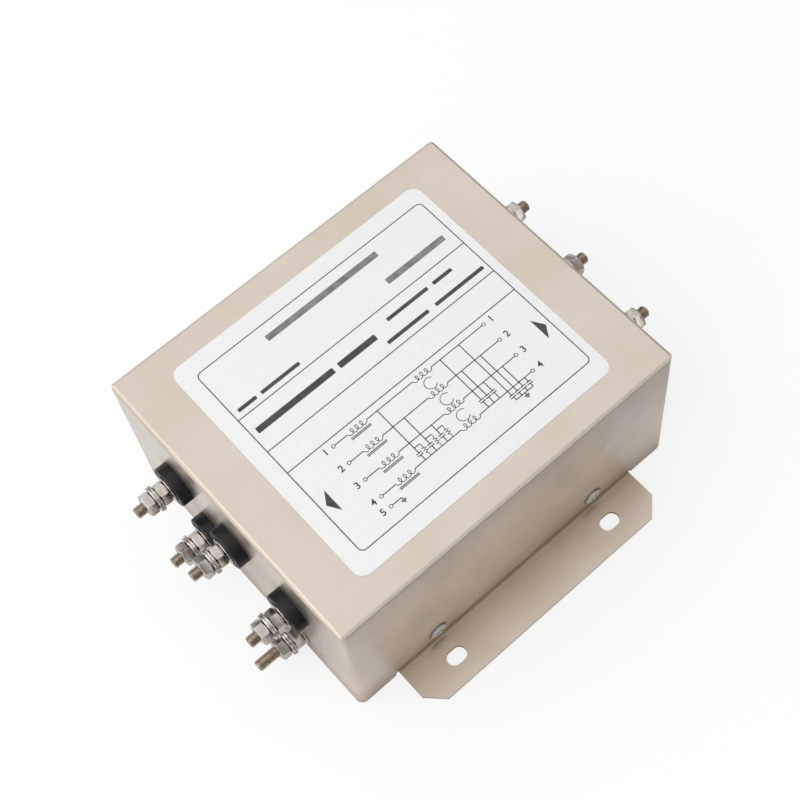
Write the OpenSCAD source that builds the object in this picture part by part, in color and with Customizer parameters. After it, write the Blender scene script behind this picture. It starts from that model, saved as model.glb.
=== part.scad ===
// Three-phase four-wire EMI line filter in a riveted sheet-metal case.
// The origin is the middle of the underside: X runs from the line side (-X) to the load side (+X),
// the mounting flanges reach out along Y, and Z is up. All lengths are in millimetres.

/* [Case] */
// Length of the case between the two terminal walls
box_l = 130; // [126:1:170]
// Width of the case between the two flanged walls
box_w = 109; // [106:1:150]
// Height of the case
box_h = 61; // [56:1:90]
// Thickness of the cover's sheet
sheet_t = 1; // [0.8:0.1:1.5]
// Inside radius of the bends round the top face
top_bend_r = 0.3; // [0.2:0.1:1.5]
// Inside radius of the upright corners
corner_r = 1.5; // [0.5:0.1:3]

/* [Mounting flanges] */
// Length of each flange along the case
flange_l = 99; // [85:1:110]
// Reach of each flange from the wall
flange_out = 16.6; // [14:0.1:22]
// Corner cut of each flange
flange_cut = 5.7; // [2:0.1:8]
// Inside radius of the bend between wall and flange
flange_bend_r = 0.8; // [0.4:0.1:2]
// Width of the relief slit at each end of a flange bend
relief_w = 1.2; // [0.8:0.1:3]
// Distance between the two slots of a flange
slot_pitch = 66; // [50:0.5:76]
// Distance from the wall to a slot's middle
slot_out = 8.2; // [6:0.1:9]
// Width of a slot
slot_w = 5; // [4:0.1:6]
// Length of a slot
slot_l = 7; // [6.5:0.1:10]

/* [Bottom tray] */
// Thickness of the tray's sheet
tray_t = 1; // [0.8:0.1:1.5]
// Height of the tray's lips
lip_h = 13; // [11:0.5:18]
// Length of the tray's lips
lip_l = 108; // [90:1:112]
// Inside radius of the tray's bends
tray_bend_r = 0.5; // [0.3:0.1:1.5]
// Gap between the tray's plate and each terminal wall
tray_gap = 0.2; // [0.1:0.1:0.5]

/* [Blind rivets] */
// Height of the rivets above the underside
rivet_z = 7.5; // [6:0.1:8]
// Diameter of a rivet's head
rivet_head_d = 6.5; // [5.5:0.1:7]
// Height of a rivet's head
rivet_head_h = 1.1; // [0.8:0.1:1.6]
// Diameter of a rivet's body
rivet_d = 3.2; // [3:0.1:4]
// Diameter of the bulb set behind the sheets
rivet_bulb_d = 4.8; // [4.4:0.1:5.6]
// Length of the bulb set behind the sheets
rivet_bulb_l = 2.6; // [2:0.1:3.4]
// Diameter of the broken mandrel in the head
mandrel_d = 1.9; // [1.5:0.1:2.2]

/* [Label] */
// Length of the blank label
label_l = 98.5; // [60:0.5:110]
// Width of the blank label
label_w = 89.8; // [60:0.2:95]
// Corner radius of the label
label_r = 3.7; // [1:0.1:8]
// Thickness of the label's film
label_t = 0.15; // [0.1:0.05:0.4]

/* [Terminal places] */
// Distance between the phase studs of one wall
pole_pitch = 27.8; // [26:0.2:32]
// Height of the phase studs
phase_z = 34.6; // [34:0.2:44]
// Height of the neutral studs
neutral_z = 19.3; // [18:0.1:20.5]
// Distance of the earth stud from the middle of the line wall
earth_y = 26.6; // [24:0.5:32]
// Height of the earth stud
earth_z = 10; // [8:0.1:11]

/* [Terminal hardware] */
// Thread diameter of the studs
stud_d = 4; // [3.5:0.1:5]
// Reach of the insulated studs from the wall
stud_out = 16.6; // [14:0.1:24]
// Reach of the earth stud from the wall
earth_stud_out = 17; // [12:0.1:24]
// Length of bare stud past each inner nut
stud_tail = 1; // [0.5:0.1:2]
// Chamfer at the ends of a stud
stud_chamfer = 0.5; // [0.2:0.1:0.8]
// Width of the nuts across flats
nut_af = 7; // [6.8:0.1:8]
// Thickness of the nuts
nut_t = 3.6; // [3:0.1:4.5]
// Diameter of a nut's bearing face
nut_face_d = 5.9; // [5.6:0.1:6.4]
// Height of the chamfer at a nut's corners
nut_relief = 0.6; // [0.3:0.1:0.9]
// Diameter of the flat washers
washer_d = 9.3; // [8:0.1:10]
// Thickness of the flat washers
washer_t = 0.7; // [0.5:0.1:1.2]
// Diameter of the split lock washers
lock_washer_d = 9; // [7.5:0.1:10]
// Thickness of the split lock washers
lock_washer_t = 0.9; // [0.8:0.1:1.4]
// Width of the split in a lock washer
split_w = 0.8; // [0.5:0.1:1.5]
// Thickness of the thin washer on each bushing
seat_washer_t = 0.6; // [0.4:0.1:1]

/* [Bushings] */
// Diameter of the insulating bushings
bushing_d = 14.5; // [12:0.1:16]
// Thickness of an outer bushing's flange
bushing_t = 3.9; // [2:0.1:5]
// Edge radius of the bushings
bushing_edge_r = 0.5; // [0.2:0.1:1]
// Thickness of an inner bushing
inner_bushing_t = 3; // [2.5:0.1:4]
// Diameter of the spigot that fills the wall's hole
spigot_d = 8; // [6:0.1:9]
// Depth to which the spigot enters the inner bushing
spigot_in = 1.6; // [1:0.1:2]

/* [Inner leads] */
// Diameter of a ring lug's eye
lug_d = 8; // [7:0.1:9]
// Thickness of a ring lug
lug_t = 0.8; // [0.5:0.1:1]
// Diameter of a lug's barrel
barrel_d = 4; // [3.4:0.1:4.6]
// Length of a lug's barrel
barrel_l = 7; // [5:0.5:8]
// Distance from the eye's middle to the barrel
barrel_at = 5; // [4.8:0.1:6]
// Diameter of the lead wires
lead_d = 2.2; // [1.6:0.1:2.6]
// Length of a lead inside its barrel
lead_in = 5; // [3:0.1:5]

/* [Circuit board] */
// Room between the board's ends and the outer faces of the terminal walls
board_end_gap = 9; // [8.6:0.1:9.4]
// Room between the board's sides and the outer faces of the flanged walls
board_side_gap = 6.5; // [6:0.1:6.6]
// Thickness of the board
board_t = 1.6; // [1:0.1:2]
// Height of the spacers under the board
spacer_h = 6; // [4.5:0.1:6.5]
// Width of the spacers across flats
spacer_af = 5.5; // [5:0.1:7]
// Distance of the spacers from the board's edges
spacer_inset = 4; // [3.6:0.1:4.4]
// Thread diameter of the board's screws
screw_d = 2.5; // [2:0.1:3]
// Thickness of the insulating sheet on the tray
liner_t = 0.4; // [0.2:0.1:0.8]

/* [Chokes] */
// Room on each side between the common-mode choke and the capacitors beside it
cm_room = 4.05; // [3.4:0.05:6]
// Share of the common-mode core's outer diameter that its eye takes
cm_eye_share = 0.5833; // [0.5:0.0001:0.64]
// Height of the common-mode core
cm_core_h = 24; // [16:1:28]
// Edge radius of the common-mode core
cm_core_edge_r = 2.5; // [1:0.1:3.5]
// Wire diameter of the common-mode windings
cm_wire_d = 1.8; // [1.4:0.1:1.8]
// Gap between the turns of a common-mode winding in the core's eye
cm_turn_gap = 0.1; // [0.1:0.1:2]
// Angle that each common-mode winding covers
cm_sector = 64; // [60:1:70]
// Room between two neighbouring line chokes
line_choke_gap = 1.7; // [1:0.1:4]
// Radial width of a line choke's core
line_core_wall = 4; // [3.2:0.1:4.4]
// Height of a line choke's core
line_core_h = 12; // [8:1:14]
// Edge radius of a line choke's core
line_core_edge_r = 1; // [0.4:0.1:1.4]
// Wire diameter of the line chokes
line_wire_d = 1.4; // [1:0.1:1.4]
// Gap between the turns of a line choke in the core's eye
line_turn_gap = 0.4; // [0.1:0.1:1.5]
// Angle that each line choke's winding covers
line_sector = 260; // [240:5:290]
// Clearance between a core and its winding
winding_gap = 0.5; // [0.4:0.05:0.6]

/* [Capacitors and resistors] */
// Room between the board's sides and the line-to-line capacitors
x_cap_side = 7; // [6.8:0.1:12]
// Gap between two line-to-line capacitors of a bank
x_cap_gap = 2; // [1:0.5:6]
// Thickness of the line-to-line capacitors
x_cap_w = 9; // [6:0.5:9]
// Height of the line-to-line capacitors
x_cap_h = 26; // [14:1:34]
// Length of the line-to-earth capacitors
y_cap_l = 13; // [10:1:14]
// Thickness of the line-to-earth capacitors
y_cap_w = 6; // [4:0.5:7]
// Height of the line-to-earth capacitors
y_cap_h = 12; // [8:1:16]
// Room between the board's sides and the line-to-earth capacitors
y_cap_side = 3; // [1:0.5:4]
// Gap between two line-to-earth capacitors in a row
y_cap_gap = 8; // [4:0.5:12]
// Edge radius of the capacitors' boxes
cap_edge_r = 0.8; // [0.3:0.1:1.2]
// Diameter of the component pins
pin_d = 0.8; // [0.6:0.1:1]
// Length of pin that shows under the board
pin_tail = 1.2; // [0.8:0.1:1.6]
// Diameter of the discharge resistors
resistor_d = 3.6; // [2.4:0.1:4]
// Length of the discharge resistors
resistor_l = 9; // [6:0.5:10]
// Length of straight lead at each end of a resistor
resistor_lead = 1.5; // [1:0.1:2.5]
// Distance between the two resistors that lie in a row
resistor_pitch = 26; // [16:1:30]
// Gap between the resistors and the line-to-earth capacitors
resistor_gap = 3; // [1:0.5:4]

/* [Clearances] */
// Radial clearance of holes round studs, rivets, screws and pins
hole_gap = 0.1; // [0.05:0.05:0.15]
// Radial clearance between a stud's thread and a nut
thread_gap = 0.05; // [0.02:0.01:0.08]

/* [Hidden] */
$fn = 48;

// Far enough past a face for a clean cut
past = 1;
// The two terminal walls
LINE = -1;
LOAD = 1;

// Inside of the cover
inner_l = box_l - 2 * sheet_t;
inner_w = box_w - 2 * sheet_t;

// [y, z] of the insulated poles: three phases in a row and the neutral below them
poles = [[pole_pitch, phase_z], [0, phase_z], [-pole_pitch, phase_z], [pole_pitch / 2, neutral_z]];
// Direction of each pole's lug about its stud: 180 points down, 0 points up
lug_turns = [180, 180, 180, 0];
// The earth stud's lug points away from the poles
earth_lug_turn = -90;
// Angle at which each nut came to rest, one for each pole
clamp_nut_turns = [22, 24, 4, 20];
terminal_nut_turns = [20, 1, 17, 51];
earth_clamp_turn = 15;
earth_terminal_turn = 0;

// Heights of the pieces on a stud above the outer face of the wall
clamp_nut_at = bushing_t + seat_washer_t;
earth_clamp_nut_at = washer_t;
// Depth of the lugs below the outer face of the wall
lug_depth = sheet_t + inner_bushing_t;
earth_lug_depth = sheet_t;
stud_hole_r = stud_d / 2 + hole_gap;
thread_hole_r = stud_d / 2 + thread_gap;
nut_corner_r = nut_af / 2 / cos(30);

// Board and what stands on it
board_l = box_l - 2 * board_end_gap;
board_w = box_w - 2 * board_side_gap;
board_z = tray_t + spacer_h;
board_top = board_z + board_t;
liner_inset = 2;
spacers = [for (x = [-1, 1], y = [-1, 1])
    [x * (board_l / 2 - spacer_inset), y * (board_w / 2 - spacer_inset)]];
screw_head_h = 1.6;
screw_head_d = 2 * screw_d - 0.4;
screw_in = 4;

// The leads land on the board in a strip between its end and the chokes
lead_pad_inset = 2.8;
lead_pad_depth = board_end_gap + lead_pad_inset;
lead_room = 0.8;
// Straight end of a lead where it meets the board
lead_foot = 0.8;
// The earth lead leaves its barrel straight and comes down to the board beside a screw
earth_lead_out = 4;
earth_lead_drop = 7;
earth_lead_screw_gap = 2.1;
lead_sides = 6;
lead_steps = 14;

// Turns that lie side by side in a core's eye, where they are closest
function turns_in_eye(eye_d, wire, gap, sector) =
    floor(sector / (2 * asin((wire + gap) / (eye_d - 2 * winding_gap - wire))));

// Line chokes stand in a row behind the line leads and share the board's width
line_choke_pitch = board_w / 4;
line_choke_reach = (line_choke_pitch - line_choke_gap) / 2;
line_core_od = 2 * (line_choke_reach - winding_gap - line_wire_d);
line_core_id = line_core_od - 2 * line_core_wall;
line_turns = turns_in_eye(line_core_id, line_wire_d, line_turn_gap, line_sector);
line_choke_x = -(box_l / 2 - lead_pad_depth - lead_d / 2 - lead_room - line_choke_reach);
line_choke_ys = [for (k = [-1.5 : 1.5]) k * line_choke_pitch];
winding_steps = 12;
// Power that squares off a winding's loop round its core
loop_power = 0.4;

// The banks of line-to-line capacitors stand on both sides of the common-mode choke
x_cap_l = (board_w - 2 * x_cap_side - 2 * x_cap_gap) / 3;
bank_gap = 1.2;
line_bank_x = line_choke_x + line_choke_reach + bank_gap + x_cap_w / 2;
load_bank_x = box_l / 2 - lead_pad_depth - lead_d / 2 - bank_gap - x_cap_w / 2;
x_cap_ys = [for (k = [-1 : 1]) k * (x_cap_l + x_cap_gap)];
x_cap_pin_inset = 3;
// The choke fills the room between the banks
cm_x = (line_bank_x + load_bank_x) / 2;
cm_core_od = load_bank_x - line_bank_x - x_cap_w - 2 * (cm_room + winding_gap + cm_wire_d);
cm_core_id = cm_eye_share * cm_core_od;
cm_turns = turns_in_eye(cm_core_id, cm_wire_d, cm_turn_gap, cm_sector);
// Line-to-earth capacitors and discharge resistors flank the choke
y_cap_y = board_w / 2 - y_cap_side - y_cap_w / 2;
y_caps = [for (x = [-1, 1], y = [-1, 1]) [cm_x + x * (y_cap_l + y_cap_gap) / 2, y * y_cap_y]];
y_cap_pin_inset = 2;
resistor_y = y_cap_y - y_cap_w / 2 - resistor_gap - resistor_d / 2;
resistor_reach = resistor_l / 2 + resistor_lead;
resistors = [
    [cm_x - resistor_pitch / 2, resistor_y], [cm_x + resistor_pitch / 2, resistor_y], [cm_x, -resistor_y]
];

function unit(v) = v / norm(v);
// Sign-keeping power, which turns a circle into a squared-off loop
function soft_square(v) = sign(v) * pow(abs(v), loop_power);
function bezier(a, b, c, d, t) =
    pow(1 - t, 3) * a + 3 * t * pow(1 - t, 2) * b + 3 * t * t * (1 - t) * c + pow(t, 3) * d;

// ---- Flat shapes ----

// Rectangle with true arcs at its corners, centred
module rounded_rect(l, w, r) {
    square([l - 2 * r, w], center = true);
    square([l, w - 2 * r], center = true);
    for (x = [-1, 1], y = [-1, 1])
        translate([x * (l / 2 - r), y * (w / 2 - r)]) circle(r);
}

// Section of the case: square below, with arcs at its two top corners
module arch(w, h, r) {
    translate([-w / 2, -past]) square([w, h - r + past]);
    translate([-w / 2 + r, -past]) square([w - 2 * r, h + past]);
    for (x = [-1, 1]) translate([x * (w / 2 - r), h - r]) circle(r);
}

// Slot with round ends, long along X
module slot_shape(l, w) {
    square([l - w, w], center = true);
    for (x = [-1, 1]) translate([x * (l - w) / 2, 0]) circle(w / 2);
}

// Quarter of a bend in sheet, from straight up at the origin to straight out along -X
module bend_shape(r, t) {
    translate([-r, r + t]) intersection() {
        difference() {
            circle(r + t);
            circle(r);
        }
        translate([0, -(r + t)]) square(r + t);
    }
}

// ---- Placing ----

// Frame of a stud: local +Z points out of the wall and local +X points up
module stud_frame(side, place) {
    translate([side * box_l / 2, place[0], place[1]])
        rotate([0, -90, side == LOAD ? 180 : 0])
            children();
}

// Copies for the four insulated poles of a wall; $pole is the number of the pole
module at_poles(side) {
    for ($pole = [0 : len(poles) - 1]) stud_frame(side, poles[$pole]) children();
}

// Frame of the flanged walls: local +Y points out of the wall
module at_flanged_walls() {
    for (turn = [0, 180]) rotate(turn) translate([0, box_w / 2, 0]) children();
}

module at_rivets() {
    at_flanged_walls()
        for (x = [-1, 1]) translate([x * slot_pitch / 2, 0, rivet_z]) rotate([-90, 0, 0]) children();
}

// ---- Case ----

// Solid block with the case's outline, drawn in from the outside by inset
module case_block(inset, top_r, side_r) {
    l = box_l - 2 * inset;
    w = box_w - 2 * inset;
    h = box_h - inset;
    intersection() {
        translate([0, 0, -past]) linear_extrude(h + 2 * past) rounded_rect(l, w, side_r);
        rotate([90, 0, 0]) linear_extrude(box_w, center = true) arch(l, h, top_r);
        rotate([90, 0, 90]) linear_extrude(box_l, center = true) arch(w, h, top_r);
    }
}

// Flange bent out of the wall, with cut corners and two slots
module flange() {
    bend_h = sheet_t + flange_bend_r;
    difference() {
        intersection() {
            rotate([90, 0, -90]) linear_extrude(flange_l, center = true) {
                bend_shape(flange_bend_r, sheet_t);
                translate([-flange_out, 0]) square([flange_out - flange_bend_r, sheet_t]);
            }
            translate([0, 0, -past]) linear_extrude(bend_h + 2 * past)
                polygon([
                    [-flange_l / 2, -sheet_t - past], [flange_l / 2, -sheet_t - past],
                    [flange_l / 2, flange_out - flange_cut], [flange_l / 2 - flange_cut, flange_out],
                    [-flange_l / 2 + flange_cut, flange_out], [-flange_l / 2, flange_out - flange_cut]
                ]);
        }
        for (x = [-1, 1]) translate([x * slot_pitch / 2, slot_out, -past])
            linear_extrude(sheet_t + 2 * past) slot_shape(slot_l, slot_w);
    }
}

module cover() {
    bend_h = sheet_t + flange_bend_r;
    color("#cfc8bf") {
        difference() {
            case_block(0, top_bend_r + sheet_t, corner_r + sheet_t);
            case_block(sheet_t, top_bend_r, corner_r);
            translate([-box_l, -box_w, -2 * past]) cube([2 * box_l, 2 * box_w, 2 * past]);
            at_flanged_walls() translate([0, 0, bend_h / 2])
                cube([flange_l + 2 * relief_w, 2 * sheet_t + past, bend_h], center = true);
            at_rivets() cylinder(h = 4 * sheet_t, r = rivet_d / 2 + hole_gap, center = true);
            for (side = [LINE, LOAD]) at_poles(side)
                cylinder(h = 4 * sheet_t, r = spigot_d / 2 + hole_gap, center = true);
            stud_frame(LINE, [-earth_y, earth_z]) cylinder(h = 4 * sheet_t, r = stud_hole_r, center = true);
        }
        at_flanged_walls() flange();
    }
}

// Section of the tray: a plate with a lip bent up at each side
module tray_section() {
    half = inner_w / 2;
    bend_h = tray_bend_r + tray_t;
    translate([-half + bend_h, 0]) square([2 * (half - bend_h), tray_t]);
    for (side = [0, 1]) mirror([side, 0]) {
        translate([half - bend_h, bend_h]) intersection() {
            difference() {
                circle(bend_h);
                circle(tray_bend_r);
            }
            translate([0, -bend_h]) square(bend_h);
        }
        translate([half - tray_t, bend_h]) square([tray_t, lip_h - bend_h]);
    }
}

module bottom_tray() {
    bend_h = tray_bend_r + tray_t;
    color("#bdb8b0") difference() {
        union() {
            linear_extrude(tray_t) difference() {
                rounded_rect(inner_l - 2 * tray_gap, inner_w, corner_r);
                for (y = [-1, 1]) translate([0, y * inner_w / 2])
                    square([lip_l, 2 * bend_h], center = true);
            }
            rotate([90, 0, 90]) linear_extrude(lip_l, center = true) tray_section();
        }
        at_rivets() cylinder(h = 4 * (sheet_t + tray_t), r = rivet_d / 2 + hole_gap, center = true);
    }
}

// Domed head outside, body through both sheets, and the bulb set behind them
module blind_rivet() {
    rim = 0.25;
    cap_h = rivet_head_h - rim;
    head_r = rivet_head_d / 2;
    dome_r = (cap_h * cap_h + head_r * head_r) / (2 * cap_h);
    grip = sheet_t + tray_t;
    groove_w = 0.3;
    rotate_extrude() difference() {
        union() {
            square([head_r, rim]);
            translate([0, rim]) intersection() {
                translate([0, cap_h - dome_r]) circle(dome_r);
                square([head_r, cap_h]);
            }
            translate([0, -grip]) square([rivet_d / 2, grip + rim]);
            translate([0, -grip - rivet_bulb_l]) {
                square([rivet_bulb_d / 2 - 1, rivet_bulb_l]);
                translate([0, 1]) square([rivet_bulb_d / 2, rivet_bulb_l - 1]);
                translate([rivet_bulb_d / 2 - 1, 1]) circle(1);
            }
        }
        translate([mandrel_d / 2, rivet_head_h / 2]) square([groove_w, rivet_head_h]);
        translate([-past, -2 * box_w]) square([past, 4 * box_w]);
    }
}

module blind_rivets() {
    color("#c9c9c6") at_rivets() blind_rivet();
}

module blank_label() {
    color("#f0f1f1") translate([0, 0, box_h]) linear_extrude(label_t) rounded_rect(label_l, label_w, label_r);
}

// ---- Terminal hardware, each piece in the frame of its stud ----

// Disc with its upper edge rounded
module rounded_disc(d, h, r) {
    rotate_extrude() {
        square([d / 2 - r, h]);
        square([d / 2, h - r]);
        translate([d / 2 - r, h - r]) intersection() {
            circle(r);
            square(r);
        }
    }
}

// Punched ring with its outer edges broken
module ring(outer_d, hole_r, t) {
    edge = 0.12;
    rotate_extrude() polygon([
        [hole_r, 0], [outer_d / 2 - edge, 0], [outer_d / 2, edge],
        [outer_d / 2, t - edge], [outer_d / 2 - edge, t], [hole_r, t]
    ]);
}

// Spring lock washer, its split facing down
module split_ring() {
    difference() {
        ring(lock_washer_d, stud_hole_r, lock_washer_t);
        translate([0, -lock_washer_d / 2, lock_washer_t / 2]) rotate([0, 35, 0])
            cube([split_w, lock_washer_d, 4 * lock_washer_t], center = true);
    }
}

// Rod with chamfered ends between two heights
module stud(from, to) {
    r = stud_d / 2;
    rotate_extrude() polygon([
        [0, from], [r - stud_chamfer, from], [r, from + stud_chamfer],
        [r, to - stud_chamfer], [r - stud_chamfer, to], [0, to]
    ]);
}

// Hexagon nut with both faces chamfered to a round bearing face, countersunk at each end
module hex_nut() {
    face_r = nut_face_d / 2;
    wide_r = nut_corner_r + 0.2;
    wide_z = nut_relief * (wide_r - face_r) / (nut_corner_r - face_r);
    sink = 0.3;
    difference() {
        intersection() {
            cylinder(h = nut_t, r = nut_corner_r, $fn = 6);
            rotate_extrude() polygon([
                [0, 0], [face_r, 0], [wide_r, wide_z],
                [wide_r, nut_t - wide_z], [face_r, nut_t], [0, nut_t]
            ]);
        }
        rotate_extrude() polygon([
            [0, -past], [thread_hole_r + sink + past, -past], [thread_hole_r, sink],
            [thread_hole_r, nut_t - sink], [thread_hole_r + sink + past, nut_t + past], [0, nut_t + past]
        ]);
    }
}

// Flange on the wall with a spigot that lines the hole and enters the inner bushing
module outer_bushing() {
    difference() {
        union() {
            rounded_disc(bushing_d, bushing_t, bushing_edge_r);
            translate([0, 0, -(sheet_t + spigot_in)])
                cylinder(h = sheet_t + spigot_in + bushing_t / 2, d = spigot_d);
        }
        cylinder(h = 4 * (bushing_t + sheet_t + spigot_in), r = stud_hole_r, center = true);
    }
}

module inner_bushing() {
    translate([0, 0, -sheet_t]) mirror([0, 0, 1]) difference() {
        rounded_disc(bushing_d, inner_bushing_t, bushing_edge_r);
        translate([0, 0, -past]) cylinder(h = spigot_in + hole_gap + past, r = spigot_d / 2 + hole_gap);
        cylinder(h = 4 * inner_bushing_t, r = stud_hole_r, center = true);
    }
}

// Crimp lug whose barrel lies inwards of its eye; turn sets the way that the barrel points
module ring_lug(depth, turn) {
    neck_w = 4;
    stop = 1.5;
    rotate(turn) translate([0, 0, -depth - lug_t]) difference() {
        union() {
            cylinder(h = lug_t, d = lug_d);
            translate([0, -neck_w / 2, 0]) cube([barrel_at + stop, neck_w, lug_t - hole_gap]);
            translate([barrel_at, 0, lug_t - hole_gap - barrel_d / 2]) rotate([0, 90, 0])
                cylinder(h = barrel_l, d = barrel_d);
        }
        cylinder(h = 4 * lug_t, r = stud_hole_r, center = true);
        translate([barrel_at + stop, 0, lug_t - hole_gap - barrel_d / 2]) rotate([0, 90, 0])
            cylinder(h = barrel_l, r = lead_d / 2 + hole_gap);
    }
}

// ---- One kind of piece on all four poles of a wall ----

module outer_bushings(side) {
    color("#26262a") at_poles(side) outer_bushing();
}

module inner_bushings(side) {
    color("#26262a") at_poles(side) inner_bushing();
}

module studs(side) {
    color("#8c7a68") at_poles(side) stud(-(lug_depth + lug_t + nut_t + stud_tail), stud_out);
}

module seat_washers(side) {
    color("#c4c1bd") at_poles(side) translate([0, 0, bushing_t]) ring(washer_d, stud_hole_r, seat_washer_t);
}

module clamp_nuts(side) {
    color("#a8a39d") at_poles(side) translate([0, 0, clamp_nut_at]) rotate(clamp_nut_turns[$pole]) hex_nut();
}

module flat_washers(side) {
    color("#c4c1bd") at_poles(side) translate([0, 0, clamp_nut_at + nut_t])
        ring(washer_d, stud_hole_r, washer_t);
}

module lock_washers(side) {
    color("#b9b5b0") at_poles(side) translate([0, 0, clamp_nut_at + nut_t + washer_t])
        split_ring();
}

module terminal_nuts(side) {
    color("#a8a39d") at_poles(side) translate([0, 0, clamp_nut_at + nut_t + washer_t + lock_washer_t])
        rotate(terminal_nut_turns[$pole]) hex_nut();
}

module ring_lugs(side) {
    color("#b87d4b") at_poles(side) ring_lug(lug_depth, lug_turns[$pole]);
}

module inner_nuts(side) {
    color("#a8a39d") at_poles(side) translate([0, 0, -(lug_depth + lug_t + nut_t)]) hex_nut();
}

module line_outer_bushings() outer_bushings(LINE);
module line_inner_bushings() inner_bushings(LINE);
module line_studs() studs(LINE);
module line_seat_washers() seat_washers(LINE);
module line_clamp_nuts() clamp_nuts(LINE);
module line_flat_washers() flat_washers(LINE);
module line_lock_washers() lock_washers(LINE);
module line_terminal_nuts() terminal_nuts(LINE);
module line_ring_lugs() ring_lugs(LINE);
module line_inner_nuts() inner_nuts(LINE);

module load_outer_bushings() outer_bushings(LOAD);
module load_inner_bushings() inner_bushings(LOAD);
module load_studs() studs(LOAD);
module load_seat_washers() seat_washers(LOAD);
module load_clamp_nuts() clamp_nuts(LOAD);
module load_flat_washers() flat_washers(LOAD);
module load_lock_washers() lock_washers(LOAD);
module load_terminal_nuts() terminal_nuts(LOAD);
module load_ring_lugs() ring_lugs(LOAD);
module load_inner_nuts() inner_nuts(LOAD);

// ---- Earth stud, bolted straight to the line wall ----

module at_earth() {
    stud_frame(LINE, [-earth_y, earth_z]) children();
}

module earth_stud() {
    color("#8c7a68") at_earth() stud(-(earth_lug_depth + lug_t + nut_t + stud_tail), earth_stud_out);
}

module earth_seat_washer() {
    color("#c4c1bd") at_earth() ring(washer_d, stud_hole_r, washer_t);
}

module earth_clamp_nut() {
    color("#a8a39d") at_earth() translate([0, 0, earth_clamp_nut_at]) rotate(earth_clamp_turn) hex_nut();
}

module earth_flat_washer() {
    color("#c4c1bd") at_earth() translate([0, 0, earth_clamp_nut_at + nut_t])
        ring(washer_d, stud_hole_r, washer_t);
}

module earth_lock_washer() {
    color("#b9b5b0") at_earth() translate([0, 0, earth_clamp_nut_at + nut_t + washer_t])
        split_ring();
}

module earth_terminal_nut() {
    color("#a8a39d") at_earth() translate([0, 0, earth_clamp_nut_at + nut_t + washer_t + lock_washer_t])
        rotate(earth_terminal_turn) hex_nut();
}

module earth_ring_lug() {
    color("#b87d4b") at_earth() ring_lug(earth_lug_depth, earth_lug_turn);
}

module earth_inner_nut() {
    color("#a8a39d") at_earth() translate([0, 0, -(earth_lug_depth + lug_t + nut_t)]) hex_nut();
}

// ---- Board and what holds it ----

module insulating_liner() {
    liner_l = inner_l - 2 * tray_gap - 2 * liner_inset;
    liner_w = inner_w - 2 * (tray_t + tray_bend_r) - 2 * liner_inset;
    color("#c8b68c") translate([0, 0, tray_t]) linear_extrude(liner_t) difference() {
        square([liner_l, liner_w], center = true);
        for (place = spacers) translate(place) circle(spacer_af / 2 / cos(30) + hole_gap);
    }
}

module board_spacers() {
    color("#c9a552") for (place = spacers) translate([place[0], place[1], tray_t]) difference() {
        cylinder(h = spacer_h, r = spacer_af / 2 / cos(30), $fn = 6);
        translate([0, 0, spacer_h - screw_in - 0.5])
            cylinder(h = spacer_h, r = screw_d / 2 + thread_gap);
    }
}

// Places of all the pins that pass through the board
function pin_places() = concat(
    [for (x = [line_bank_x, load_bank_x], y = x_cap_ys, k = [-1, 1])
        [x, y + k * (x_cap_l / 2 - x_cap_pin_inset)]],
    [for (place = y_caps, k = [-1, 1]) place + [k * (y_cap_l / 2 - y_cap_pin_inset), 0]],
    [for (place = resistors, k = [-1, 1]) place + [k * resistor_reach, 0]]
);

module circuit_board() {
    color("#3f6b45") translate([0, 0, board_z]) linear_extrude(board_t) difference() {
        rounded_rect(board_l, board_w, 1);
        for (place = spacers) translate(place) circle(screw_d / 2 + hole_gap);
        for (place = pin_places()) translate(place) circle(pin_d / 2 + hole_gap);
    }
}

module board_screws() {
    color("#a8a39d") for (place = spacers) translate([place[0], place[1], board_top]) {
        rounded_disc(screw_head_d, screw_head_h, 0.4);
        translate([0, 0, -(board_t + screw_in)]) cylinder(h = board_t + screw_in + 0.1, d = screw_d);
    }
}

// ---- Chokes ----

// Sintered ring with rounded edges, on its side in the middle of its winding
module core(od, id, h, edge) {
    rotate_extrude() translate([(od + id) / 4, 0]) rounded_rect((od - id) / 2, h, edge);
}

// Height of a core's middle above the board: the winding lies on the board
function core_z(h, wire) = board_top + wire + winding_gap + h / 2;

// Path of a wire round a ring core as [radius, angle, height] from the core's middle. It comes up
// from the board at the rim, goes over the top and down through the eye, and ends at the rim below.
function winding_path(od, id, h, wire, turns, sector, start) =
    let (
        mid_r = (od + id) / 4,
        a = (od - id) / 4 + winding_gap + wire / 2,
        b = h / 2 + winding_gap + wire / 2,
        last = turns * winding_steps - winding_steps / 4
    )
    concat(
        [[mid_r + a, start, -b - wire / 2]],
        [for (k = [0 : last])
            let (t = 360 * k / winding_steps)
            [mid_r + a * soft_square(cos(t)), start + sector * k / last, b * soft_square(sin(t))]],
        [[mid_r + 0.9 * a, start + sector, -b]]
    );

// Round wire swept along path; ref, one vector for each point, never lies along the path
module wire(path, d, refs) {
    n = len(path);
    sides = lead_sides;
    points = [for (i = [0 : n - 1])
        let (
            along = unit(path[min(i + 1, n - 1)] - path[max(i - 1, 0)]),
            out = unit(cross(refs[i], along)),
            up = cross(along, out)
        )
        for (k = [0 : sides - 1])
            path[i] + d / 2 * (cos(360 * k / sides) * out + sin(360 * k / sides) * up)];
    polyhedron(points, concat(
        [[for (k = [0 : sides - 1]) k]],
        [[for (k = [sides - 1 : -1 : 0]) (n - 1) * sides + k]],
        [for (i = [0 : n - 2], k = [0 : sides - 1], half = [0, 1])
            let (
                a = i * sides + k,
                b = i * sides + (k + 1) % sides,
                c = b + sides,
                d = a + sides
            )
            half == 0 ? [a, d, c] : [a, c, b]]
    ));
}

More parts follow.
